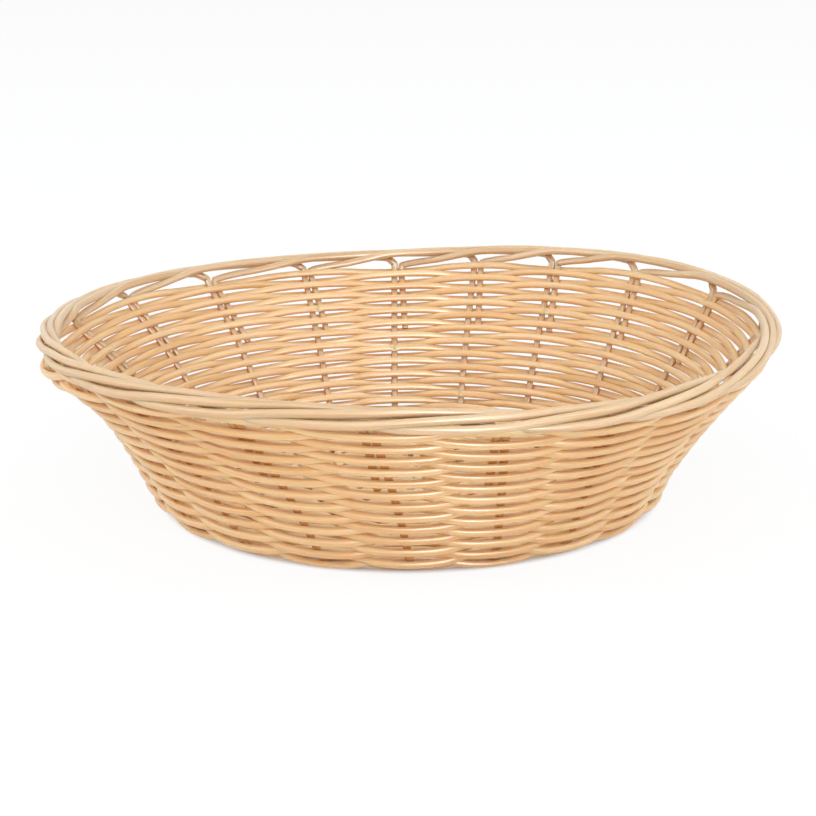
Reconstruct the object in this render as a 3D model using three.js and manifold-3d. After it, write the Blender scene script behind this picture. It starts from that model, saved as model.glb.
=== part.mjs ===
// A round, open fruit basket woven from round plastic strands of one thickness.
// Millimetres, +Z up, origin on the table under the middle of the basket.
import * as THREE from "three";
import { mergeVertices } from "three/addons/utils/BufferGeometryUtils.js";
import Module from "manifold-3d";

const wasm = await Module();
wasm.setup();
const degrees = (angle) => (angle * Math.PI) / 180;

// Strands
const STRAND = 2.31; // thickness of every strand
const CLEARANCE = 0.35; // left free between two strands that lie against each other
const PITCH = STRAND + CLEARANCE; // from strand to strand, and from row to row
const WEAVER_HALF = STRAND * 0.43; // half side of a weaver's four-sided section
const STAKE_SIDES = 6;
const WEAVER_SIDES = 4;

// Overall shape, measured on the middle of the woven skin
const BASE_RADIUS = 84.2; // where the lines of the base and the wall meet
const BASE_SLOPE = degrees(4.5); // the base falls from its middle to its edge
const CORNER_RADIUS = 6; // bend from the base into the wall
const WALL_LEAN = degrees(27.5); // foot of the wall, from the vertical
const WALL_FLARE = degrees(14); // the wall leans out more towards its top, by this much in all
const WALL_ROWS = 25;
const RIM_RISE = 2.48 * PITCH; // middle of the rim above the top row
const RIM_SADDLE = 0.87 * PITCH; // the rim rises and falls by this, as hand-made baskets do
const SADDLE_AZIMUTH = degrees(30); // where the rim is highest
const FOOT_FLAT = 0.45; // depth of the worn flats that the basket stands on

// Stakes
const STAKES = 20; // an even number
const FIRST_AZIMUTH = degrees(216.8);
const STAKE_LEAN = degrees(-0.8); // turn of every stake from the base to the rim
// The stakes stand unevenly, as set by hand: waves per turn, size and phase, at the foot and at the rim
const FOOT_DRIFT = [
  [1, degrees(2.4), degrees(12)],
  [2, degrees(1.6), degrees(-51)],
  [3, degrees(0.8), degrees(-52)],
];
const RIM_DRIFT = [
  [1, degrees(7.2), degrees(-3)],
  [2, degrees(1.6), degrees(76)],
  [3, degrees(3.6), degrees(-32)],
];
const FOOT_LENGTH = 30; // the part of a stake that is pushed into the base
const TAIL_ROWS = 10; // rows that a stake's tucked-in tail passes
const TAIL_SPLAY = 0.6; // the tail leaves its neighbour by this many strands at its end
const BORDER_SPAN = 4; // stakes passed by a stake's run along the rim

// A stake's run along the rim: stakes passed, strands outwards, strands up, from the middle of the rim.
// It turns outwards at an elbow under the rim, crosses its top to the inside and comes down to the wall.
const BORDER_RUN = [
  [0.0, 0.0, -1.15],
  [0.03, 0.1, -0.9],
  [0.1, 0.42, -0.62],
  [0.25, 0.82, -0.38],
  [0.5, 0.95, -0.08],
  [0.75, 0.72, 0.16],
  [1.0, 0.36, 0.26],
  [1.25, 0.02, 0.22],
  [1.5, -0.24, 0.1],
  [2.0, -0.68, -0.18],
  [2.5, -1.14, -0.46],
  [3.0, -1.4, -0.97],
  [3.25, -1.18, -1.3],
  [3.5, -0.7, -1.44],
  [3.75, -0.22, -1.53],
  [3.88, -0.02, -1.74],
];

// Base sticks: five across five, plaited in the middle
const STICKS = STAKES / 2;
const STICKS_EACH_WAY = STICKS / 2;
const PLAIT_SPACING = 1.75 * PITCH;
const PLAIT_HALF = 0.5 * PITCH / Math.sqrt(1 - (PITCH / PLAIT_SPACING) ** 2);
const PLAIT_EDGE = 2.5 * PLAIT_SPACING; // from the middle to where the sticks fan out
const FAN_SPACING = 2.77 * PITCH; // between the sticks where the fan opens
const FAN_RADIUS = (FAN_SPACING * STAKES) / (2 * Math.PI); // from here on each stick runs outwards

// Profile of the middle of the skin, from the centre of the base to above the rim
const wallRise = Math.PI / 2 - WALL_LEAN;
const cornerTurn = wallRise + BASE_SLOPE;
const cornerCut = CORNER_RADIUS * Math.tan(cornerTurn / 2);
const baseEnd = new THREE.Vector2(
  BASE_RADIUS - cornerCut * Math.cos(BASE_SLOPE),
  cornerCut * Math.sin(BASE_SLOPE),
);
const baseTop = baseEnd.y + (baseEnd.x / 2) * Math.tan(BASE_SLOPE);
const cornerCentre = new THREE.Vector2(
  baseEnd.x + CORNER_RADIUS * Math.sin(BASE_SLOPE),
  baseEnd.y + CORNER_RADIUS * Math.cos(BASE_SLOPE),
);
const wallLength = (WALL_ROWS + 1) * PITCH + RIM_RISE;
const wallRadius = wallLength / WALL_FLARE;
const wallCentre = new THREE.Vector2(
  cornerCentre.x + (CORNER_RADIUS + wallRadius) * Math.cos(WALL_LEAN),
  cornerCentre.y - (CORNER_RADIUS + wallRadius) * Math.sin(WALL_LEAN),
);
const profile = new THREE.Path();
profile.moveTo(0, baseTop);
profile.quadraticCurveTo(baseEnd.x / 2, baseTop, baseEnd.x, baseEnd.y);
profile.absarc(
  cornerCentre.x,
  cornerCentre.y,
  CORNER_RADIUS,
  -Math.PI / 2 - BASE_SLOPE,
  -Math.PI / 2 + wallRise,
  false,
);
profile.absarc(
  wallCentre.x,
  wallCentre.y,
  wallRadius,
  Math.PI - WALL_LEAN,
  Math.PI - WALL_LEAN - WALL_FLARE,
  true,
);
const profileLength = profile.getLength();
const cornerStart = profile.getCurveLengths()[0];
const lowest = cornerStart + CORNER_RADIUS * BASE_SLOPE; // the profile's lowest point
const topRow = lowest + (WALL_ROWS - 1) * PITCH;
const rim = topRow + RIM_RISE;
const baseRows = Math.round((lowest - FAN_RADIUS) / PITCH);

// Height of a place on the profile, from 0 at the foot of the wall to 1 at the rim
function heightAt(along) {
  return THREE.MathUtils.clamp((along - lowest) / (rim - lowest), 0, 1.1);
}

function drift(waves, angle) {
  return waves.reduce((sum, [turns, size, phase]) => sum + size * Math.sin(turns * angle + phase), 0);
}

// Azimuth of a place on the skin, counted in stakes, counter-clockwise seen from above
function azimuth(stake, along) {
  const even = (stake * 2 * Math.PI) / STAKES + FIRST_AZIMUTH;
  const foot = drift(FOOT_DRIFT, even);
  const top = drift(RIM_DRIFT, even) + STAKE_LEAN;
  return even + THREE.MathUtils.lerp(foot, top, heightAt(along));
}

// Distance from one stake to the next at a place on the profile
function spacing(stake, along) {
  return radiusAt(along) * (azimuth(stake + 0.5, along) - azimuth(stake - 0.5, along));
}

function radiusAt(along) {
  return profile.getPointAt(along / profileLength).x;
}

// A place on the skin: stakes round, distance along the profile, sideways and outwards of the skin
function place(stake, along, sideways = 0, outwards = 0) {
  const spot = profile.getPointAt(along / profileLength);
  const tangent = profile.getTangentAt(along / profileLength);
  const turn = azimuth(stake, along) + sideways / spot.x;
  const saddle = RIM_SADDLE * heightAt(along) * Math.cos(2 * (turn - SADDLE_AZIMUTH));
  const radial = new THREE.Vector3(Math.cos(turn), Math.sin(turn), 0);
  const normal = radial.clone().multiplyScalar(tangent.y);
  normal.z = -tangent.x;
  const point = radial.multiplyScalar(spot.x);
  point.z = spot.y + saddle;
  point.addScaledVector(normal, outwards);
  return { point, normal };
}

// One strand: a many-sided section swept along its places, one flat of it facing out of the skin
function strandGeometry(places, sides, radius) {
  const last = places.length - 1;
  const positions = [];
  const index = [];
  places.forEach(({ point, normal }, i) => {
    const before = places[Math.max(i - 1, 0)].point;
    const after = places[Math.min(i + 1, last)].point;
    const into = point.clone().sub(before).normalize();
    const out = after.clone().sub(point).normalize();
    const along = into.add(out).normalize();
    const across = normal.clone().addScaledVector(along, -normal.dot(along)).normalize();
    const side = along.clone().cross(across);
    for (let m = 0; m < sides; m++) {
      const angle = ((m + 0.5) * 2 * Math.PI) / sides;
      const corner = point.clone();
      corner.addScaledVector(across, radius * Math.cos(angle));
      corner.addScaledVector(side, radius * Math.sin(angle));
      positions.push(corner.x, corner.y, corner.z);
    }
  });
  for (let i = 0; i < last; i++) {
    for (let m = 0; m < sides; m++) {
      const here = i * sides + m;
      const next = i * sides + ((m + 1) % sides);
      index.push(here, next, here + sides);
      index.push(next, next + sides, here + sides);
    }
  }
  const end = last * sides;
  for (let m = 1; m < sides - 1; m++) {
    index.push(0, m + 1, m);
    index.push(end, end + m, end + m + 1);
  }
  const geometry = new THREE.BufferGeometry();
  geometry.setAttribute("position", new THREE.Float32BufferAttribute(positions, 3));
  geometry.setIndex(index);
  return geometry;
}

// Which strands a row passes at a stake: their middle, sideways, and half the width between them
function warp(along) {
  const tailEnd = topRow - TAIL_ROWS * PITCH;
  if (along < lowest - FOOT_LENGTH - PITCH) return { middle: PITCH, half: 0 };
  if (along < lowest) return { middle: PITCH / 2, half: PITCH / 2 };
  if (along < tailEnd - PITCH) return { middle: 0, half: 0 };
  const width = tailOffset(along);
  return { middle: -width / 2, half: width / 2 };
}

// How far a tail lies beside its neighbouring stake
function tailOffset(along) {
  const down = THREE.MathUtils.clamp((topRow - along) / (TAIL_ROWS * PITCH), 0, 1);
  return PITCH * (1 + TAIL_SPLAY * down);
}

// How far a row swings out of the skin so that it clears the strands it passes
function swing(stake, along, half) {
  const gap = spacing(stake, along);
  const slope = profile.getTangentAt(along / profileLength).y;
  const chord = (slope * half * gap) / (2 * radiusAt(along));
  const clear = PITCH + chord;
  const narrowed = 1 - (2 * half) / gap;
  return clear / Math.sqrt(narrowed ** 2 - ((2 * clear) / gap) ** 2);
}

// A weaver's place where it passes a stake, on the inside of every second one
function weaverPlace(stake, along, row, shift = 0) {
  const { middle, half } = warp(along);
  const side = (Math.round(stake) + row) % 2 === 0 ? -1 : 1;
  return place(stake, along, middle + shift, side * swing(stake, along, half));
}

function solidOf(geometry) {
  return new wasm.Manifold(
    new wasm.Mesh({
      numProp: 3,
      vertProperties: new Float32Array(geometry.getAttribute("position").array),
      triVerts: new Uint32Array(geometry.getIndex().array),
    }),
  );
}

// Cuts the flats that the basket stands on
function standFlat(geometry, floor) {
  const depth = 3 * BASE_RADIUS;
  const box = new THREE.BoxGeometry(depth, depth, depth).translate(0, 0, floor - depth / 2);
  box.deleteAttribute("normal");
  box.deleteAttribute("uv");
  const below = solidOf(mergeVertices(box));
  const mesh = solidOf(geometry).subtract(below).getMesh();
  const cut = new THREE.BufferGeometry();
  cut.setAttribute("position", new THREE.BufferAttribute(mesh.vertProperties, 3));
  cut.setIndex(new THREE.BufferAttribute(mesh.triVerts, 1));
  return cut;
}

const basket = new THREE.Group();
basket.name = "basket";

function addStrand(name, geometry, colour) {
  const material = new THREE.MeshStandardMaterial({ color: colour, roughness: 0.42, metalness: 0 });
  const mesh = new THREE.Mesh(geometry, material);
  mesh.name = name;
  basket.add(mesh);
}

const number = (i) => String(i + 1).padStart(2, "0");
const STAKE_COLOUR = 0xe3b983;
const WEAVER_COLOUR = 0xecc897;
const weaverRadius = WEAVER_HALF * Math.SQRT2;
const floor = cornerCentre.y - CORNER_RADIUS - swing(0, lowest, 0) - WEAVER_HALF + FOOT_FLAT;

// Stakes, each from its foot in the base to its tail in the wall
const FOOT_STEPS = 2;
const CORNER_STEPS = 3;
const TAIL_STEPS = 2;
for (let k = 0; k < STAKES; k++) {
  const places = [];
  for (let i = 0; i < FOOT_STEPS; i++) {
    places.push(place(k, cornerStart - (FOOT_LENGTH * (FOOT_STEPS - i)) / FOOT_STEPS));
  }
  for (let i = 0; i <= CORNER_STEPS; i++) {
    places.push(place(k, cornerStart + (CORNER_RADIUS * cornerTurn * i) / CORNER_STEPS));
  }
  places.push(place(k, (lowest + topRow) / 2));
  places.push(place(k, topRow));
  places.push(place(k, topRow + 0.35 * RIM_RISE));
  for (const [passed, out, up] of BORDER_RUN) {
    places.push(place(k + passed, rim + up * PITCH, 0, out * PITCH));
  }
  for (let i = 0; i <= TAIL_STEPS; i++) {
    const along = topRow + 0.12 * RIM_RISE - (TAIL_ROWS * PITCH * i) / TAIL_STEPS;
    places.push(place(k + BORDER_SPAN, along, -tailOffset(along)));
  }
  addStrand(`stake_${number(k)}`, strandGeometry(places, STAKE_SIDES, STRAND / 2), STAKE_COLOUR);
}

// Wall rows, each one strand whose two ends meet behind a stake
for (let row = 0; row < WALL_ROWS; row++) {
  const along = lowest + row * PITCH;
  const start = (3 * row) % STAKES;
  const places = [];
  for (let i = 0; i <= STAKES; i++) {
    const shift = i === 0 ? CLEARANCE : i === STAKES ? -CLEARANCE : 0;
    places.push(weaverPlace(start + i, along, row, shift));
  }
  const geometry = strandGeometry(places, WEAVER_SIDES, weaverRadius);
  const lies = row < 2 ? standFlat(geometry, floor) : geometry;
  addStrand(`wall_row_${number(row)}`, lies, WEAVER_COLOUR);
}

// Base weavers, two strands that chase each other outwards in a flat spiral and go on into the rows of the wall
for (const [name, first] of [["base_weaver_a", 0], ["base_weaver_b", 1]]) {
  const places = [];
  const steps = ((baseRows - 1 - first) * STAKES) / 2;
  for (let i = 0; i <= steps; i++) {
    const row = first + (2 * i) / STAKES;
    places.push(weaverPlace(i, lowest - (baseRows - row) * PITCH, baseRows + first));
  }
  const geometry = strandGeometry(places, WEAVER_SIDES, weaverRadius);
  addStrand(name, standFlat(geometry, floor), WEAVER_COLOUR);
}

// Base sticks, from one edge of the base through the plaited middle to the other edge
function plaitPlace(turn, forwards, sideways, outwards) {
  const across = new THREE.Vector2(forwards, sideways).rotateAround(new THREE.Vector2(), turn);
  const spot = profile.getPointAt(across.length() / profileLength);
  return {
    point: new THREE.Vector3(across.x, across.y, spot.y - outwards),
    normal: new THREE.Vector3(0, 0, -1),
  };
}

const STICK_STEPS = 3;
const stickEnd = lowest - PITCH;
const middleStick = (STICKS_EACH_WAY - 1) / 2;
for (let layer = 0; layer < 2; layer++) {
  const turn =
    FIRST_AZIMUTH +
    ((layer * STICKS_EACH_WAY + middleStick) * 2 * Math.PI) / STAKES +
    PITCH / FAN_RADIUS;
  for (let i = 0; i < STICKS_EACH_WAY; i++) {
    const near = layer * STICKS_EACH_WAY + i;
    const far = layer * STICKS_EACH_WAY + STICKS + STICKS_EACH_WAY - 1 - i;
    const sideways = (i - middleStick) * PLAIT_SPACING;
    const places = [];
    for (let n = 0; n <= STICK_STEPS; n++) {
      const along = stickEnd + ((FAN_RADIUS - stickEnd) * n) / STICK_STEPS;
      places.push(place(near, along, PITCH));
    }
    places.push(plaitPlace(turn, PLAIT_EDGE, sideways, 0));
    for (let n = STICKS_EACH_WAY - 1; n >= 0; n--) {
      // the sticks of the other layer run the other way across, so their order is turned round
      const crossed = layer === 0 ? n : STICKS_EACH_WAY - 1 - n;
      const over = (i + crossed + layer) % 2 === 0 ? PLAIT_HALF : -PLAIT_HALF;
      places.push(plaitPlace(turn, (n - middleStick) * PLAIT_SPACING, sideways, over));
    }
    places.push(plaitPlace(turn, -PLAIT_EDGE, sideways, 0));
    for (let n = STICK_STEPS; n >= 0; n--) {
      const along = stickEnd + ((FAN_RADIUS - stickEnd) * n) / STICK_STEPS;
      places.push(place(far, along, PITCH));
    }
    const name = `base_stick_${number(near)}`;
    addStrand(name, strandGeometry(places, STAKE_SIDES, STRAND / 2), STAKE_COLOUR);
  }
}

basket.position.z = -floor;
const part = new THREE.Group();
part.name = "fruit_basket";
part.add(basket);
export default part;
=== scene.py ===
import math

import bpy
import numpy as np
from mathutils import Matrix, Vector


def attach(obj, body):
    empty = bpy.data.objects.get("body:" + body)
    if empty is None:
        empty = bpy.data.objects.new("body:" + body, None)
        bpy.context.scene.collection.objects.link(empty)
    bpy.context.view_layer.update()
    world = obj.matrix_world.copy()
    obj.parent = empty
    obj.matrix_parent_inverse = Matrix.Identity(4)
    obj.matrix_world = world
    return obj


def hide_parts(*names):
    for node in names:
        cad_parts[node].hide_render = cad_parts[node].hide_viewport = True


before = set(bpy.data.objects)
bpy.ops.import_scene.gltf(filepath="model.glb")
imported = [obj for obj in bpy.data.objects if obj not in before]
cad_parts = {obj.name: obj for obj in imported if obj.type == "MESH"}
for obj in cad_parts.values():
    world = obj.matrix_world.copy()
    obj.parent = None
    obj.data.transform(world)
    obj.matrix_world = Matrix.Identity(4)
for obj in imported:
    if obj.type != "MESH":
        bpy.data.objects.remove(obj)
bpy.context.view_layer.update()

MM = 0.001
TAU = 2 * math.pi

# The solids in millimetres, as in the part's source
STRAND = 2.31  # thickness of every strand
CLEARANCE = 0.35  # left free between two strands
PITCH = STRAND + CLEARANCE  # from strand to strand, and from row to row
WEAVER_HALF = STRAND * 0.43  # half side of a weaver's four-sided section
BASE_RADIUS = 84.2  # where the lines of the base and the wall meet
BASE_SLOPE = math.radians(4.5)  # the base falls from its middle to its edge
CORNER_RADIUS = 6.0  # bend from the base into the wall
WALL_LEAN = math.radians(27.5)  # foot of the wall, from the vertical
WALL_FLARE = math.radians(14)  # the wall leans out more towards its top, by this much in all
WALL_ROWS = 25
ROW_START_STEP = 3  # stakes from the start of a row to that of the next one
RIM_RISE = 2.48 * PITCH  # middle of the rim above the top row
RIM_SADDLE = 0.87 * PITCH  # the rim rises and falls by this
SADDLE_AZIMUTH = math.radians(30)  # where the rim is highest
FOOT_FLAT = 0.45  # depth of the worn flats that the basket stands on
STAKES = 20
FIRST_AZIMUTH = math.radians(216.8)
STAKE_LEAN = math.radians(-0.8)  # turn of every stake from the base to the rim
FOOT_DRIFT = [(1, 2.4, 12), (2, 1.6, -51), (3, 0.8, -52)]  # waves per turn, size and phase in degrees
RIM_DRIFT = [(1, 7.2, -3), (2, 1.6, 76), (3, 3.6, -32)]
FOOT_LENGTH = 30.0  # the part of a stake that is pushed into the base
TAIL_ROWS = 10  # rows that a stake's tucked-in tail passes
TAIL_SPLAY = 0.6  # the tail leaves its neighbour by this many strands at its end
BORDER_SPAN = 4  # stakes passed by a stake's run along the rim
STICKS_EACH_WAY = 5
STICKS = 2 * STICKS_EACH_WAY
PLAIT_SPACING = 1.75 * PITCH  # between the sticks in the plaited middle of the base
PLAIT_EDGE = 2.5 * PLAIT_SPACING  # from the middle to where the sticks fan out
FAN_SPACING = 2.77 * PITCH  # between the sticks where the fan opens
FAN_RADIUS = FAN_SPACING * STAKES / TAU

# The finished strands in millimetres, pressed a little flat where they are woven
WEAVER_RADIUS = 1.3
WEAVER_FLAT = 0.95  # thickness as a share of the width
WEAVER_PRESSED = 0.74  # the same where a weaver lies on a stake
STAKE_RADIUS = 1.2
STAKE_FLAT = 0.6
RIM_RADIUS = 1.34
RIM_FLAT = 0.9
RIM_SWELL = 1.6  # how fast a stake takes on the rim's section above the top row
WEAVER_SWING = WEAVER_PRESSED * WEAVER_RADIUS + STAKE_FLAT * STAKE_RADIUS
SECTION_POWER = 2.6  # of a strand's section: 2 is an oval, and more has flatter faces
GROOVES = (3, 5, 7)  # waves round a section
GROOVE_DEPTHS = (0.006, 0.014)  # least and greatest, as shares of the radius
THICKNESS_DRIFT = 0.02  # share of the radius
THICKNESS_WAVE = 90  # length of its longest wave
TWIST_LENGTH = 120  # the grooves turn by up to a radian over this length
CUT_WEAR = 0.14  # worn edge of a cut end, as a share of the radius
DRIFT_WAVES = 4  # waves that are added up for one drift
DRIFT_SPREAD = (0.7, 1.3)  # least and greatest share of a wave's usual count
DRIFT_REACH = 1.4  # usual height of the waves together

# The finished wall in millimetres, with heights as shares of the wall's
SHELL_SHIFT = 1.15  # flat strands make a thinner wall, which keeps its outer face
END_WAIST = 1.6  # the wall is drawn in at mid-height at its two ends
WAIST_TOP = 0.9  # height at which this stops
FRONT_BELLY = 0.5  # the wall stands out a little in front
DENTS = [  # bulges and hollows: azimuth in degrees, height, size, spread in azimuth and in height
    (190, 0.88, 5.0, 12, 0.08),
    (352, 0.92, 1.0, 14, 0.07),
    (356, 0.2, -2.2, 20, 0.12),
]
DENT_FADE = 0.1  # height below the rim in which all of these fade out
WEAVE_POWER = 0.75  # below 1 the rows press flat against the stakes
ROW_SEAM = 0.05  # gap between the two ends of a wall row
ROW_DRIFT = 0.1  # a row strays up and down by this
ROW_WAVES = 2  # in the length of the row
SWING_DRIFT = 0.02  # share of a row's swing
SWING_WAVES = 3  # in the length of the row
TOP_START = 18  # stake at which the top row starts
TOP_RUN_ON = 9  # stakes that it passes a second time, in front
CLIMB_LEAD = 0.3  # stakes before the last one of its first turn, where it starts to climb
CLIMB_SPAN = 1.8  # stakes that the climb takes
FOOT_TUCK = 1.6  # the lowest row is pushed up against the next one
TUCKED_ROWS = 2  # rows that give way to this
FOOT_SWING = 0.6  # the lowest row is drawn tight

# The finished rim and base in millimetres
RIM_WAVES = [  # up and down: waves per turn, size, and phase in degrees
    (1, 0.47, 56), (2, 0.46, -117), (3, 0.8, 19), (4, 0.28, -170), (5, 0.32, 178),
]
RIM_RUN = [  # stakes passed, then strands outwards and up from the rim, at the back and again in front
    (0.0, 0.0, -1.5, 0.0, -1.5),
    (0.04, 0.05, -1.0, 0.08, -1.35),
    (0.08, 0.25, -0.45, 0.3, -1.18),
    (0.2, 0.65, -0.02, 0.66, -1.0),
    (0.5, 0.95, 0.36, 0.9, -0.75),
    (0.75, 0.75, 0.4, 0.95, -0.62),
    (1.0, 0.36, 0.3, 0.82, -0.5),
    (1.25, 0.02, 0.22, 0.58, -0.22),
    (1.5, -0.24, 0.1, 0.35, -0.02),
    (2.0, -0.68, -0.18, -0.1, 0.12),
    (2.5, -1.14, -0.46, -0.75, -0.1),
    (3.0, -1.4, -0.66, -1.3, -0.75),
    (3.25, -1.4, -1.15, -1.25, -0.95),
    (3.5, -0.95, -1.5, -1.05, -1.05),
    (3.75, -0.4, -1.6, -0.55, -1.15),
    (3.9, -0.1, -1.8, -0.2, -1.35),
]
RIM_LOOSENESS = 0.1  # strands, or stakes, by which a run strays
FRONT_AT_ENDS = 0.2  # share of the front's run at the two ends of the basket
FRONT_GAIN = 1.3  # and how fast it grows from there to the front
ELBOW_FOOT = 0.3 * RIM_RISE  # above the top row, where a stake bends into the rim
TAIL_TOP = 0.12 * RIM_RISE  # above the top row, where its tail starts
PAINTED_SHADE_TOP = 0.6 * PITCH  # above the top row, where a stake's painted shade has faded out
BASE_STRETCH = 2.1  # the weave of the base is let out to meet the lowest row
BASE_STEEPNESS = 0.6  # limit to how much further the weave of the base swings where the sticks are close
FOOT_JOIN = 3 * PITCH  # length in which the weave moves from a stick to the middle of stick and stake

# Fineness of the meshes
SKIN_POINTS = (1500, 200, 300)  # of the profile in the base, the corner and the wall
SKIN_END = 1.1  # the profile goes on past the rim, to this share of the wall's height
STEPS_PER_STAKE = 14
BASE_STEPS_PER_STAKE = 8
STAKE_POINTS = (4, 5, 6)  # control points of a stake in its foot, the corner and the wall
TAIL_POINTS = 5
STICK_POINTS = 5  # of either end of a stick, outside the plait
STAKE_STEP = (1.3, 2)  # length of a step, and fewest steps between control points
STICK_STEP = (1.4, 3)
WEAVER_SIDES = 14
BASE_WEAVER_SIDES = 10
STAKE_SIDES = 16
STICK_SIDES = 12
UV_LENGTH = 100  # millimetres of strand to one unit of V

# The plastic
WEAVER_COLOURS = ((0.65, 0.39, 0.165), (0.82, 0.6, 0.35))  # dark and light
STAKE_COLOURS = ((0.55, 0.36, 0.185), (0.71, 0.545, 0.36))
# Painted shade: a stake is darkened where it stands in the wall, as the shade between the rows there
PAINTED_SHADE_COLOUR = (0.56, 0.27, 0.09)
PAINTED_SHADE_MEAN = 0.65  # share of the painted shade colour in a stake in the wall, where it stands in shade between the rows
PAINTED_SHADE_SWING = 0.35  # and how much more of the painted shade is on its outer side
TONE_SPREAD = 0.5  # between strands, and along one
TONE_WAVE = 160  # length of its longest wave along a strand, in millimetres
CUT_TONE = -1.5  # the middle of a cut end is darker
LINE_NOISE = {"Scale": 2.6, "Detail": 4.0, "Roughness": 0.7}  # fine lines, left by drawing the plastic
CLOUD_NOISE = {"Scale": 1.6, "Detail": 2.0}  # slow clouding
LINE_SHARE = 0.9
TONE_SHARE = 0.2
TONE_RANGE = (0.6, 1.3)  # of the sum of these, from dark to light
ROUGHNESS_RANGE = (0.26, 0.42)
BUMP_STRENGTH = 0.7
BUMP_DISTANCE = 0.00015  # metres
SPECULAR_LEVEL = 0.5
SUBSURFACE_WEIGHT = 0.75
SUBSURFACE_RADIUS = (1.0, 0.55, 0.25)
SUBSURFACE_SCALE = 0.003  # metres

# Floor, light and camera, in metres
FLOOR_HALF = 15
PAPER_COLOUR = (0.93, 0.86, 0.78)  # of the floor, as it lights the basket
PAPER_GLOW = 0.9  # of the floor, as the camera sees it
PAPER_COVERED = (0.0815, 0.086)  # distances from the middle between which the basket stops covering it
WHITE = (1, 1, 1)
WARM_WHITE = (1, 0.985, 0.97)
COOL_WHITE = (0.77, 0.89, 1.0)
SURROUND_STRENGTH = 0.55
BASKET_MIDDLE = (0, 0, 0.03)
PHOTO_WIDTH = 816  # pixels
FOCAL_LENGTH = 2029  # pixels
SENSOR_WIDTH = 36  # millimetres
CAMERA_EYE = Vector((0, -0.6689, 0.2162))
CAMERA_AIM = Vector((-0.0005, 0, 0.0286))
CAMERA_ROLL = math.radians(-0.55)
CAMERA_CLIP = (0.01, 100)

rng = np.random.default_rng(seed=20)


# The skin: the surface that the strands are woven in

def unit(vectors):
    return vectors / np.linalg.norm(vectors, axis=1)[:, None]


def gaps(points):
    """Distance from each point to the next."""
    return np.linalg.norm(np.diff(points, axis=0), axis=1)


def distances(points):
    """Distance of each point from the first one, along the line through them."""
    return np.concatenate([[0], np.cumsum(gaps(points))])


def arc(centre, radius, angle):
    return np.stack([centre[0] + radius * np.cos(angle), centre[1] + radius * np.sin(angle)], 1)


def make_skin():
    """Half the basket's profile, as radius and height, from the middle of the base to above the rim."""
    rise = math.pi / 2 - WALL_LEAN
    turn = rise + BASE_SLOPE
    cut = CORNER_RADIUS * math.tan(turn / 2)
    end = (BASE_RADIUS - cut * math.cos(BASE_SLOPE), cut * math.sin(BASE_SLOPE))
    top = end[1] + end[0] / 2 * math.tan(BASE_SLOPE)
    centre = (end[0] + CORNER_RADIUS * math.sin(BASE_SLOPE), end[1] + CORNER_RADIUS * math.cos(BASE_SLOPE))
    base_points, corner_points, wall_points = SKIN_POINTS
    r = np.linspace(0, end[0], base_points)
    base = np.stack([r, top - (top - end[1]) * (r / end[0]) ** 2], 1)
    corner_angle = np.linspace(-math.pi / 2 - BASE_SLOPE, -math.pi / 2 + rise, corner_points)
    corner = arc(centre, CORNER_RADIUS, corner_angle)
    reach = ((WALL_ROWS + 1) * PITCH + RIM_RISE) / WALL_FLARE
    away = CORNER_RADIUS + reach
    wall_centre = (centre[0] + away * math.cos(WALL_LEAN), centre[1] - away * math.sin(WALL_LEAN))
    wall_angle = math.pi - WALL_LEAN - np.linspace(0, SKIN_END * WALL_FLARE, wall_points)
    wall = arc(wall_centre, reach, wall_angle)
    path = np.concatenate([base, corner[1:], wall[1:]])
    along = distances(path)
    return along, path, unit(np.gradient(path, along, axis=0)), along[len(base) - 1], centre, turn


SKIN_ALONG, SKIN_PATH, SKIN_TANGENT, CORNER_START, CORNER_CENTRE, CORNER_TURN = make_skin()
CORNER_END = CORNER_START + CORNER_RADIUS * CORNER_TURN
LOWEST = CORNER_START + CORNER_RADIUS * BASE_SLOPE
TOP_ROW = LOWEST + (WALL_ROWS - 1) * PITCH
RIM = TOP_ROW + RIM_RISE
BASE_ROWS = round((LOWEST - FAN_RADIUS) / PITCH)


def skin(along):
    """Radius, height and the two parts of the tangent at a distance along the profile."""
    return [np.interp(along, SKIN_ALONG, table) for table in (*SKIN_PATH.T, *SKIN_TANGENT.T)]


def height_at(along):
    return np.clip((along - LOWEST) / (RIM - LOWEST), 0, SKIN_END)


def wave_sum(waves, turn):
    """The sum of waves that are given by their count per turn, size and phase in degrees."""
    return sum(size * np.sin(count * turn + math.radians(phase)) for count, size, phase in waves)


def azimuth(stake, along):
    even = stake * TAU / STAKES + FIRST_AZIMUTH
    foot = np.radians(wave_sum(FOOT_DRIFT, even))
    top = STAKE_LEAN + np.radians(wave_sum(RIM_DRIFT, even))
    return even + foot + (top - foot) * height_at(along)


def spacing(stake, along):
    return skin(along)[0] * (azimuth(stake + 0.5, along) - azimuth(stake - 0.5, along))


def dent(turn, along):
    """How far the finished wall stands outside the skin."""
    height = height_at(along)
    waist = END_WAIST * np.cos(turn) ** 2 * np.sin(math.pi * np.minimum(height / WAIST_TOP, 1)) ** 2
    belly = FRONT_BELLY * np.maximum(-np.sin(turn), 0) * np.sin(math.pi * np.minimum(height, 1))
    shift = SHELL_SHIFT - waist + belly
    for middle, level, size, width, tall in DENTS:
        away = (turn - math.radians(middle) + math.pi) % TAU - math.pi
        distance = (away / math.radians(width)) ** 2 + ((height - level) / tall) ** 2
        shift = shift + size * np.exp(-distance / 2)
    return shift * np.clip((1 - height) / DENT_FADE, 0, 1)


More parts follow.
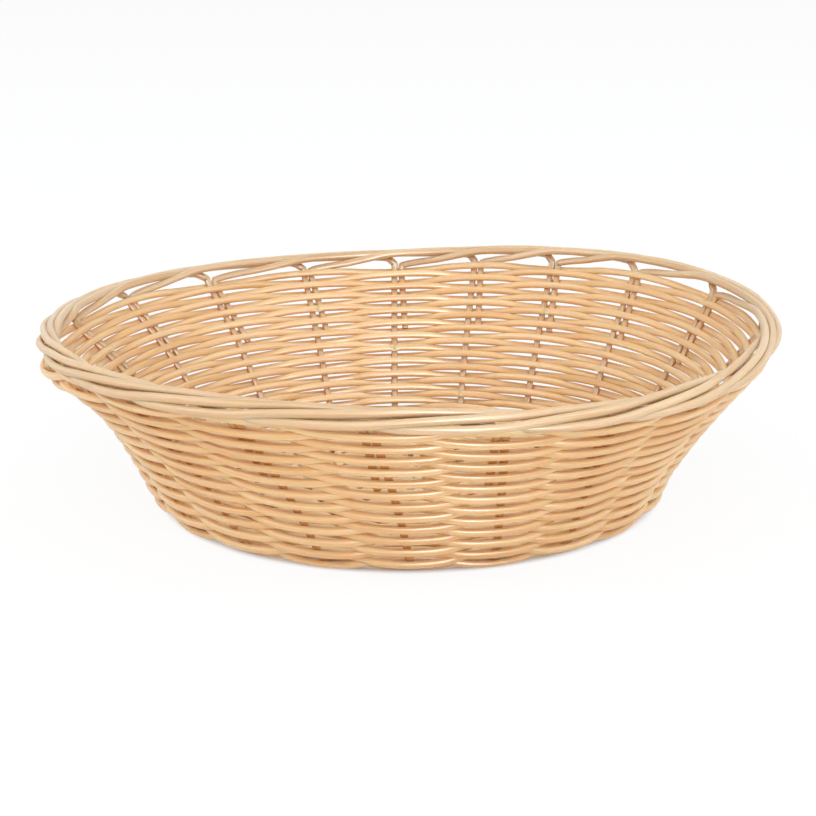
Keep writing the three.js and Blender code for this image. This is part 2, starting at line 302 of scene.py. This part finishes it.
def place(stake, along, sideways=0.0, outwards=0.0):
    """Points and outward normals, by stakes round, distance along the profile, sideways and outwards."""
    stake, along, sideways, outwards = np.broadcast_arrays(
        *[np.asarray(v, float) for v in (stake, along, sideways, outwards)])
    r, z, tangent_r, tangent_z = skin(along)
    turn = azimuth(stake, along) + sideways / np.maximum(r, 1)
    height = height_at(along)
    saddle = RIM_SADDLE * height * np.cos(2 * (turn - SADDLE_AZIMUTH))
    lift = saddle + height ** 2 * wave_sum(RIM_WAVES, turn)
    normal = np.stack([np.cos(turn) * tangent_z, np.sin(turn) * tangent_z, -tangent_r], -1)
    point = np.stack([r * np.cos(turn), r * np.sin(turn), z + lift], -1)
    return point + normal * (outwards + dent(turn, along))[..., None], normal


CAD_SWING = PITCH / math.sqrt(1 - (2 * PITCH / spacing(0, LOWEST)) ** 2)
FLOOR = CORNER_CENTRE[1] - CORNER_RADIUS - CAD_SWING - WEAVER_HALF + FOOT_FLAT


def tail_offset(along):
    """How far to the side of a stake another one's tail lies."""
    return PITCH * (1 + TAIL_SPLAY * np.clip((TOP_ROW - along) / (TAIL_ROWS * PITCH), 0, 1))


def warp_middle(along):
    """Sideways middle of what a wall row passes at a stake: the stake, and higher up a tail beside it."""
    if along < TOP_ROW - TAIL_ROWS * PITCH - PITCH:
        return 0.0
    return -tail_offset(along) / 2


# Strands

def drift(t, strength, waves):
    """Smooth seeded noise over t from 0 to 1, about +-strength, which ends as it began."""
    total = np.zeros_like(t)
    for n in range(1, DRIFT_WAVES + 1):
        turns = max(1, round(waves * n * rng.uniform(*DRIFT_SPREAD)))
        total += np.sin(TAU * turns * t + rng.uniform(0, TAU)) / n
    return total * strength / DRIFT_REACH


def step_counts(points, step):
    length, fewest = step
    return np.maximum(np.round(gaps(points) / length).astype(int), fewest)


def smooth(control, steps):
    """A Catmull-Rom curve through control points, in so many steps from each one to the next."""
    before, after = 2 * control[:1] - control[1:2], 2 * control[-1:] - control[-2:-1]
    padded = np.concatenate([before, control, after])
    out = []
    for i in range(len(control) - 1):
        p0, p1, p2, p3 = padded[i:i + 4]
        t = np.linspace(0, 1, steps[i], endpoint=False)[:, None]
        out.append(0.5 * (2 * p1 + (p2 - p0) * t + (2 * p0 - 5 * p1 + 4 * p2 - p3) * t ** 2
                          + (3 * p1 - p0 - 3 * p2 + p3) * t ** 3))
    out.append(control[-1:])
    return np.concatenate(out)


def tube_mesh(name, rings, ends, along):
    """A closed mesh of rings of points in millimetres and the middles of its two ends, with UVs along it."""
    count, sides, _ = rings.shape
    verts = np.concatenate([rings.reshape(-1, 3), ends])
    verts[:, 2] = np.maximum(verts[:, 2] - FLOOR, 0.0)
    verts *= MM

    ring, side = [v.ravel() for v in np.meshgrid(np.arange(count - 1), np.arange(sides), indexing="ij")]
    here, there = ring * sides, (ring + 1) * sides
    after = (side + 1) % sides
    quads = np.stack([here + side, here + after, there + after, there + side], 1)
    u0, u1 = side / sides, (side + 1) / sides
    v0, v1 = along[ring] / UV_LENGTH, along[ring + 1] / UV_LENGTH
    quad_uv = np.stack([u0, v0, u1, v0, u1, v1, u0, v1], 1).reshape(-1, 2)
    side = np.arange(sides)
    after = (side + 1) % sides
    middle, last = count * sides, (count - 1) * sides
    caps = np.concatenate([np.stack([np.full(sides, middle), after, side], 1),
                           np.stack([np.full(sides, middle + 1), last + side, last + after], 1)])
    cap_uv = np.zeros((caps.size, 2))

    mesh = bpy.data.meshes.new(name)
    mesh.vertices.add(len(verts))
    mesh.vertices.foreach_set("co", verts.astype(np.float32).ravel())
    corners = np.concatenate([quads.ravel(), caps.ravel()]).astype(np.int32)
    mesh.loops.add(len(corners))
    mesh.loops.foreach_set("vertex_index", corners)
    starts = np.concatenate([np.arange(len(quads)) * 4, quads.size + np.arange(len(caps)) * 3])
    mesh.polygons.add(len(starts))
    mesh.polygons.foreach_set("loop_start", starts.astype(np.int32))
    uv = np.concatenate([quad_uv, cap_uv])
    mesh.uv_layers.new(name="UVMap").data.foreach_set("uv", uv.astype(np.float32).ravel())
    return mesh


def add_values(mesh, name, values):
    mesh.attributes.new(name, "FLOAT", "POINT").data.foreach_set("value", values.astype(np.float32))


def strand(node, material, sides, points, normals, radius, flat, painted_shade=0.0, worn=CUT_WEAR):
    """One strand: a rounded, grooved section swept along points, and flattened along their normals."""
    radius, flat, painted_shade = [np.broadcast_to(np.asarray(v, float), len(points)) for v in (radius, flat, painted_shade)]
    tangent = unit(np.gradient(points, axis=0))
    across = unit(normals - (normals * tangent).sum(1)[:, None] * tangent)
    side = np.cross(tangent, across)
    along = distances(points)
    twist = rng.uniform(0, TAU) + along * rng.uniform(-1, 1) / TWIST_LENGTH
    thick = radius * (1 + drift(along / along[-1], THICKNESS_DRIFT, along[-1] / THICKNESS_WAVE))

    # square cut ends with a slightly worn edge
    points, across, side, thick, flat, twist, along, painted_shade = [
        np.concatenate([v[:1], v, v[-1:]]) for v in (points, across, side, thick, flat, twist, along, painted_shade)]
    points[0] -= tangent[0] * worn * radius[0]
    points[-1] += tangent[-1] * worn * radius[-1]
    thick[[0, -1]] *= 1 - worn

    angle = np.arange(sides) * TAU / sides
    groove = np.ones((len(points), sides))
    for waves in GROOVES:
        size = rng.uniform(*GROOVE_DEPTHS)
        groove += size * np.cos(waves * (angle - twist[:, None]) + rng.uniform(0, TAU))
    reach = (thick[:, None] * groove)[..., None]
    outwards, sideways = [
        (np.sign(v) * np.abs(v) ** (2 / SECTION_POWER))[:, None] for v in (np.cos(angle), np.sin(angle))]
    pressed = flat[:, None] * across
    rings = points[:, None] + reach * (outwards * pressed[:, None] + sideways * side[:, None])

    tone = rng.uniform(-TONE_SPREAD, TONE_SPREAD)
    tone = tone + drift(np.linspace(0, 1, len(points)), TONE_SPREAD, along[-1] / TONE_WAVE)
    # painted shade on a stake in the wall, heavier on its outer side
    painted_shade_ring = painted_shade[:, None] * (PAINTED_SHADE_MEAN + PAINTED_SHADE_SWING * np.cos(angle))
    mesh = tube_mesh(f"{node}_strand", rings, points[[0, -1]], along)
    add_values(mesh, "tone", np.concatenate([np.repeat(tone, sides), tone[[0, -1]] + CUT_TONE]))
    add_values(mesh, "painted_shade", np.concatenate([painted_shade_ring.ravel(), painted_shade[[0, -1]]]))
    mesh.update()
    mesh.validate()
    mesh.shade_smooth()
    mesh.materials.append(material)
    piece = bpy.data.objects.new(f"{node}_strand", mesh)
    bpy.context.scene.collection.objects.link(piece)
    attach(piece, "root")
    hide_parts(node)


# Material

def add_node(tree, kind, inputs=(), **values):
    """A new shader node, with its properties set and its inputs linked or given a value."""
    made = tree.nodes.new(kind)
    for key, value in values.items():
        setattr(made, key, value)
    for key, value in dict(inputs).items():
        if isinstance(value, bpy.types.NodeSocket):
            tree.links.new(value, made.inputs[key])
        else:
            made.inputs[key].default_value = value
    return made


def strand_material(name, dark, light):
    """Satin plastic with fine lines along the strand. The shade attribute mixes in a painted shade colour,
    which darkens the stakes where they stand between the wall's rows.
    """
    material = bpy.data.materials.new(name)
    material.use_nodes = True
    tree = material.node_tree

    def node(kind, inputs, output=0, **values):
        return add_node(tree, kind, inputs, **values).outputs[output]

    def noise(settings):
        return node("ShaderNodeTexNoise", {"Vector": spot, "W": tone, **settings}, noise_dimensions="4D")

    # a point on a long cylinder, from the UVs
    split = add_node(tree, "ShaderNodeSeparateXYZ", {0: node("ShaderNodeUVMap", (), uv_map="UVMap")})
    angle = node("ShaderNodeMath", {0: split.outputs[0], 1: TAU}, operation="MULTIPLY")
    cosine = node("ShaderNodeMath", {0: angle}, operation="COSINE")
    sine = node("ShaderNodeMath", {0: angle}, operation="SINE")
    spot = node("ShaderNodeCombineXYZ", {0: cosine, 1: sine, 2: split.outputs[1]})

    tone = node("ShaderNodeAttribute", (), "Fac", attribute_name="tone")
    painted_shade = node("ShaderNodeAttribute", (), "Fac", attribute_name="painted_shade")
    lines = noise(LINE_NOISE)
    cloud = noise(CLOUD_NOISE)
    mixed = node("ShaderNodeMath", {0: lines, 1: LINE_SHARE, 2: cloud}, operation="MULTIPLY_ADD")
    toned = node("ShaderNodeMath", {0: tone, 1: TONE_SHARE, 2: mixed}, operation="MULTIPLY_ADD")
    ramp = node("ShaderNodeMapRange", {0: toned, 1: TONE_RANGE[0], 2: TONE_RANGE[1]})
    pale = node("ShaderNodeMix", {0: ramp, 6: (*dark, 1), 7: (*light, 1)}, 2, data_type="RGBA")
    # painted shade mixed into the colour
    shade = node("ShaderNodeMix", {0: painted_shade, 6: pale, 7: (*PAINTED_SHADE_COLOUR, 1)}, 2, data_type="RGBA")
    rough = node("ShaderNodeMapRange", {0: lines, 3: ROUGHNESS_RANGE[0], 4: ROUGHNESS_RANGE[1]})
    bump = node("ShaderNodeBump", {"Strength": BUMP_STRENGTH, "Distance": BUMP_DISTANCE, "Height": lines})

    shader = tree.nodes["Principled BSDF"]
    tree.links.new(shade, shader.inputs["Base Color"])
    tree.links.new(rough, shader.inputs["Roughness"])
    tree.links.new(bump, shader.inputs["Normal"])
    shader.inputs["Specular IOR Level"].default_value = SPECULAR_LEVEL
    shader.inputs["Subsurface Weight"].default_value = SUBSURFACE_WEIGHT
    shader.inputs["Subsurface Radius"].default_value = SUBSURFACE_RADIUS
    shader.inputs["Subsurface Scale"].default_value = SUBSURFACE_SCALE
    return material


weaver_plastic = strand_material("weaver_plastic", *WEAVER_COLOURS)
stake_plastic = strand_material("stake_plastic", *STAKE_COLOURS)


# Wall rows

def weave(turns):
    """In and out of the stakes: 1 outside and -1 inside."""
    wave = np.cos(math.pi * turns)
    return np.sign(wave) * np.abs(wave) ** WEAVE_POWER


def wall_row(row):
    """One row. The top one runs on above its start, and passes two stakes on one side to change step."""
    top = row == WALL_ROWS - 1
    level = LOWEST + row * PITCH
    start = TOP_START if top else ROW_START_STEP * row % STAKES
    length = STAKES + TOP_RUN_ON if top else STAKES
    shift = ROW_SEAM / 2 / spacing(start, level)
    t = np.linspace(0, 1, length * STEPS_PER_STAKE + 1)
    stakes = start + shift + t * (length - 2 * shift)
    past = stakes - start - (STAKES - 1) if top else np.full_like(stakes, -1.0)
    climb = np.clip((past + CLIMB_LEAD) / CLIMB_SPAN, 0, 1)
    climb = climb ** 2 * (3 - 2 * climb)
    tuck = FOOT_TUCK * max(0, 1 - row / TUCKED_ROWS)
    along = level + climb * PITCH + tuck + drift(t, ROW_DRIFT, ROW_WAVES)
    swing = WEAVER_SWING * (1 + drift(t, SWING_DRIFT, SWING_WAVES)) * (FOOT_SWING if row == 0 else 1)
    wave = -weave(stakes - np.clip(past, 0, 1) + row)
    points, normals = place(stakes, along, warp_middle(level), swing * wave)
    flat = WEAVER_FLAT + (WEAVER_PRESSED - WEAVER_FLAT) * wave ** 2
    strand(f"wall_row_{row + 1:02d}", weaver_plastic, WEAVER_SIDES,
           points, normals, WEAVER_RADIUS, flat, worn=0.0)


# Base weavers

def base_weaver(letter, phase):
    """One strand of the base's double spiral, which swings further where the sticks are close."""
    passed = (BASE_ROWS - 1 - phase) * STAKES // 2
    stakes = np.linspace(0, passed, passed * BASE_STEPS_PER_STAKE + 1)
    inner = LOWEST - (BASE_ROWS - phase) * PITCH
    along = np.linspace(inner, LOWEST - PITCH + BASE_STRETCH, len(stakes))
    gap = skin(along)[0] * TAU / STAKES
    swing = WEAVER_SWING / np.sqrt(1 - np.minimum((2 * WEAVER_SWING / gap) ** 2, BASE_STEEPNESS))
    wave = -np.cos(math.pi * (stakes + BASE_ROWS + phase))
    foot = LOWEST - FOOT_LENGTH
    sideways = np.interp(along, [foot - FOOT_JOIN, foot], [PITCH, PITCH / 2])
    points, normals = place(stakes, along, sideways, swing * wave)
    strand(f"base_weaver_{letter}", weaver_plastic, BASE_WEAVER_SIDES,
           points, normals, WEAVER_RADIUS, WEAVER_PRESSED)


# Stakes

def rim_points(k):
    """Control points of a stake's run along the rim."""
    lift, swell, lag = rng.uniform(-RIM_LOOSENESS, RIM_LOOSENESS, 3)
    half = BORDER_SPAN / 2
    for passed, out, up, front_out, front_up in RIM_RUN:
        loose = math.sin(math.pi * passed / BORDER_SPAN) ** 2
        turned = k + passed + lag * max(0, math.sin(math.pi * (passed - half) / half))
        front = min(max(FRONT_AT_ENDS - FRONT_GAIN * math.sin(azimuth(turned, RIM)), 0), 1)
        out += (front_out - out) * front + swell * loose
        up += (front_up - up) * front + lift * loose
        yield turned, RIM + up * PITCH, 0, out * PITCH


def stake(k):
    """One stake: its foot in the base, the upright, its run along the rim and its tail in the wall."""
    foot_points, corner_points, wall_points = STAKE_POINTS
    upright = [
        *np.linspace(CORNER_START - FOOT_LENGTH, CORNER_START, foot_points)[:-1],
        *np.linspace(CORNER_START, CORNER_END, corner_points),
        *np.linspace(CORNER_END, TOP_ROW, wall_points)[1:],
        TOP_ROW + ELBOW_FOOT,
    ]
    tail = np.linspace(TOP_ROW + TAIL_TOP, TOP_ROW + TAIL_TOP - TAIL_ROWS * PITCH, TAIL_POINTS)
    control = np.array([
        *[(k, along, 0, 0) for along in upright],
        *rim_points(k),
        *[(k + BORDER_SPAN, along, -tail_offset(along), 0) for along in tail],
    ], float)
    spots, _ = place(*control.T)
    path = smooth(control, step_counts(spots, STAKE_STEP))
    points, normals = place(*path.T)
    along = path[:, 1]
    # painted shade: the stake is darker where it stands in the wall, below the top row
    painted_shade = np.clip((TOP_ROW + PAINTED_SHADE_TOP - along) / PITCH, 0, 1)
    on_rim = np.clip((along - TOP_ROW) / RIM_RISE * RIM_SWELL, 0, 1)
    radius = STAKE_RADIUS + (RIM_RADIUS - STAKE_RADIUS) * on_rim
    flat = STAKE_FLAT + (RIM_FLAT - STAKE_FLAT) * on_rim
    strand(f"stake_{k + 1:02d}", stake_plastic, STAKE_SIDES,
           points, normals, radius, flat, painted_shade)


# Base sticks

def plait(turn, forwards, sideways, outwards):
    """A point in the plaited middle of the base, forwards and sideways of a stick that points along turn."""
    x = forwards * math.cos(turn) - sideways * math.sin(turn)
    y = forwards * math.sin(turn) + sideways * math.cos(turn)
    return x, y, skin(math.hypot(x, y))[1] - outwards - dent(0.0, 0.0)


def base_stick(layer, i):
    """One stick, from stake to stake through the plait."""
    first = layer * STICKS_EACH_WAY
    near, far = first + i, first + STICKS + STICKS_EACH_WAY - 1 - i
    middle = (STICKS_EACH_WAY - 1) / 2
    turn = FIRST_AZIMUTH + (first + middle) * TAU / STAKES + PITCH / FAN_RADIUS
    sideways = (i - middle) * PLAIT_SPACING
    crossings = []
    for n in range(STICKS_EACH_WAY - 1, -1, -1):
        crossed = n if layer == 0 else STICKS_EACH_WAY - 1 - n
        over = STAKE_FLAT * STAKE_RADIUS * (1 if (i + crossed + layer) % 2 == 0 else -1)
        crossings.append(plait(turn, (n - middle) * PLAIT_SPACING, sideways, over))
    reach = np.linspace(LOWEST - PITCH, FAN_RADIUS, STICK_POINTS)
    control = np.array([
        *place(near, reach, PITCH)[0],
        plait(turn, PLAIT_EDGE, sideways, 0),
        *crossings,
        plait(turn, -PLAIT_EDGE, sideways, 0),
        *place(far, reach[::-1], PITCH)[0],
    ])
    points = smooth(control, step_counts(control, STICK_STEP))
    normals = np.tile([0.0, 0.0, -1.0], (len(points), 1))
    strand(f"base_stick_{near + 1:02d}", stake_plastic, STICK_SIDES,
           points, normals, STAKE_RADIUS, STAKE_FLAT)


for row in range(WALL_ROWS):
    wall_row(row)
for phase, letter in enumerate("ab"):
    base_weaver(letter, phase)
for k in range(STAKES):
    stake(k)
for layer in range(2):
    for i in range(STICKS_EACH_WAY):
        base_stick(layer, i)


# Floor, light and camera

def seen_directly(tree):
    """1 for what the camera sees, straight, in a reflection or through something clear, and 0 for light."""
    ray = add_node(tree, "ShaderNodeLightPath").outputs
    value = ray["Is Camera Ray"]
    for other in ("Is Glossy Ray", "Is Transmission Ray"):
        either = add_node(tree, "ShaderNodeMath", {0: value, 1: ray[other]}, operation="MAXIMUM")
        value = either.outputs[0]
    return value


def floor_material():
    """Pale matt paper. To the camera it also glows, except where the basket covers it."""
    material = bpy.data.materials.new("floor_paper")
    material.use_nodes = True
    tree = material.node_tree
    tree.nodes.clear()

    def node(kind, inputs, output=0, **values):
        return add_node(tree, kind, inputs, **values).outputs[output]

    matt = node("ShaderNodeBsdfDiffuse", {0: (*PAPER_COLOUR, 1)})
    dull = 1 - PAPER_GLOW
    shown = node("ShaderNodeBsdfDiffuse", {0: (dull, dull, dull, 1)})
    lit = node("ShaderNodeEmission", {0: (*WHITE, 1), 1: PAPER_GLOW})
    both = node("ShaderNodeAddShader", {0: shown, 1: lit})
    spot = node("ShaderNodeNewGeometry", (), "Position")
    reach = node("ShaderNodeVectorMath", {0: spot}, "Value", operation="LENGTH")
    open_air = node("ShaderNodeMapRange", {0: reach, 1: PAPER_COVERED[0], 2: PAPER_COVERED[1]})
    glowing = node("ShaderNodeMath", {0: seen_directly(tree), 1: open_air}, operation="MULTIPLY")
    pick = node("ShaderNodeMixShader", {0: glowing, 1: matt, 2: both})
    add_node(tree, "ShaderNodeOutputMaterial", {0: pick})
    return material


floor_mesh = bpy.data.meshes.new("floor")
floor_corners = [(x * FLOOR_HALF, y * FLOOR_HALF, 0) for x, y in ((-1, -1), (1, -1), (1, 1), (-1, 1))]
floor_mesh.from_pydata(floor_corners, [], [(0, 1, 2, 3)])
floor_mesh.materials.append(floor_material())
floor = bpy.data.objects.new("floor", floor_mesh)
bpy.context.scene.collection.objects.link(floor)

world = bpy.data.worlds.new("studio")
bpy.context.scene.world = world
world.use_nodes = True
surround = world.node_tree.nodes["Background"]
surround.inputs[0].default_value = (*WARM_WHITE, 1)
surround.inputs[1].default_value = SURROUND_STRENGTH
backdrop = add_node(world.node_tree, "ShaderNodeBackground", {0: (*WHITE, 1), 1: 1.0})
pick = add_node(world.node_tree, "ShaderNodeMixShader", {
    0: seen_directly(world.node_tree), 1: surround.outputs[0], 2: backdrop.outputs[0]})
world.node_tree.links.new(pick.outputs[0], world.node_tree.nodes["World Output"].inputs[0])


def area_light(name, spot, size, watts, colour=WHITE, aim=BASKET_MIDDLE, gloss_only=False):
    """An oblong lamp. One that is gloss_only shows in reflections and lights nothing else."""
    data = bpy.data.lights.new(name, "AREA")
    data.shape = "RECTANGLE"
    data.size, data.size_y = size
    data.energy = watts
    data.color = colour
    lamp = bpy.data.objects.new(name, data)
    lamp.location = spot
    lamp.rotation_euler = (Vector(aim) - Vector(spot)).to_track_quat("-Z", "Y").to_euler()
    lamp.visible_diffuse = not gloss_only
    bpy.context.scene.collection.objects.link(lamp)


area_light("key_box", (0.25, -2.6, 0.9), (1.2, 1.0), 16.0, WARM_WHITE)
area_light("fill_box", (-0.1, -2.3, 1.9), (2.0, 1.0), 12.0, WARM_WHITE)
area_light("left_box", (-1.9, -0.4, 1.5), (1.2, 1.2), 23.0, COOL_WHITE)
area_light("right_box", (1.9, -0.4, 1.5), (1.2, 1.2), 23.0, COOL_WHITE)
area_light("sheen_box", (0.84, -2.6, 0.9), (0.4, 1.6), 220.0, gloss_only=True)
area_light("top_box", (0.0, -0.3, 1.4), (1.2, 1.0), 3.0, aim=(0, 0, 0))

camera_data = bpy.data.cameras.new("camera")
camera_data.sensor_width = SENSOR_WIDTH
camera_data.lens = FOCAL_LENGTH / PHOTO_WIDTH * SENSOR_WIDTH
camera_data.clip_start, camera_data.clip_end = CAMERA_CLIP
camera = bpy.data.objects.new("camera", camera_data)
facing = (CAMERA_AIM - CAMERA_EYE).to_track_quat("-Z", "Y").to_matrix().to_4x4()
camera.matrix_world = Matrix.Translation(CAMERA_EYE) @ facing @ Matrix.Rotation(CAMERA_ROLL, 4, "Z")
bpy.context.scene.collection.objects.link(camera)
bpy.context.scene.camera = camera
bpy.context.scene.view_settings.view_transform = "Standard"
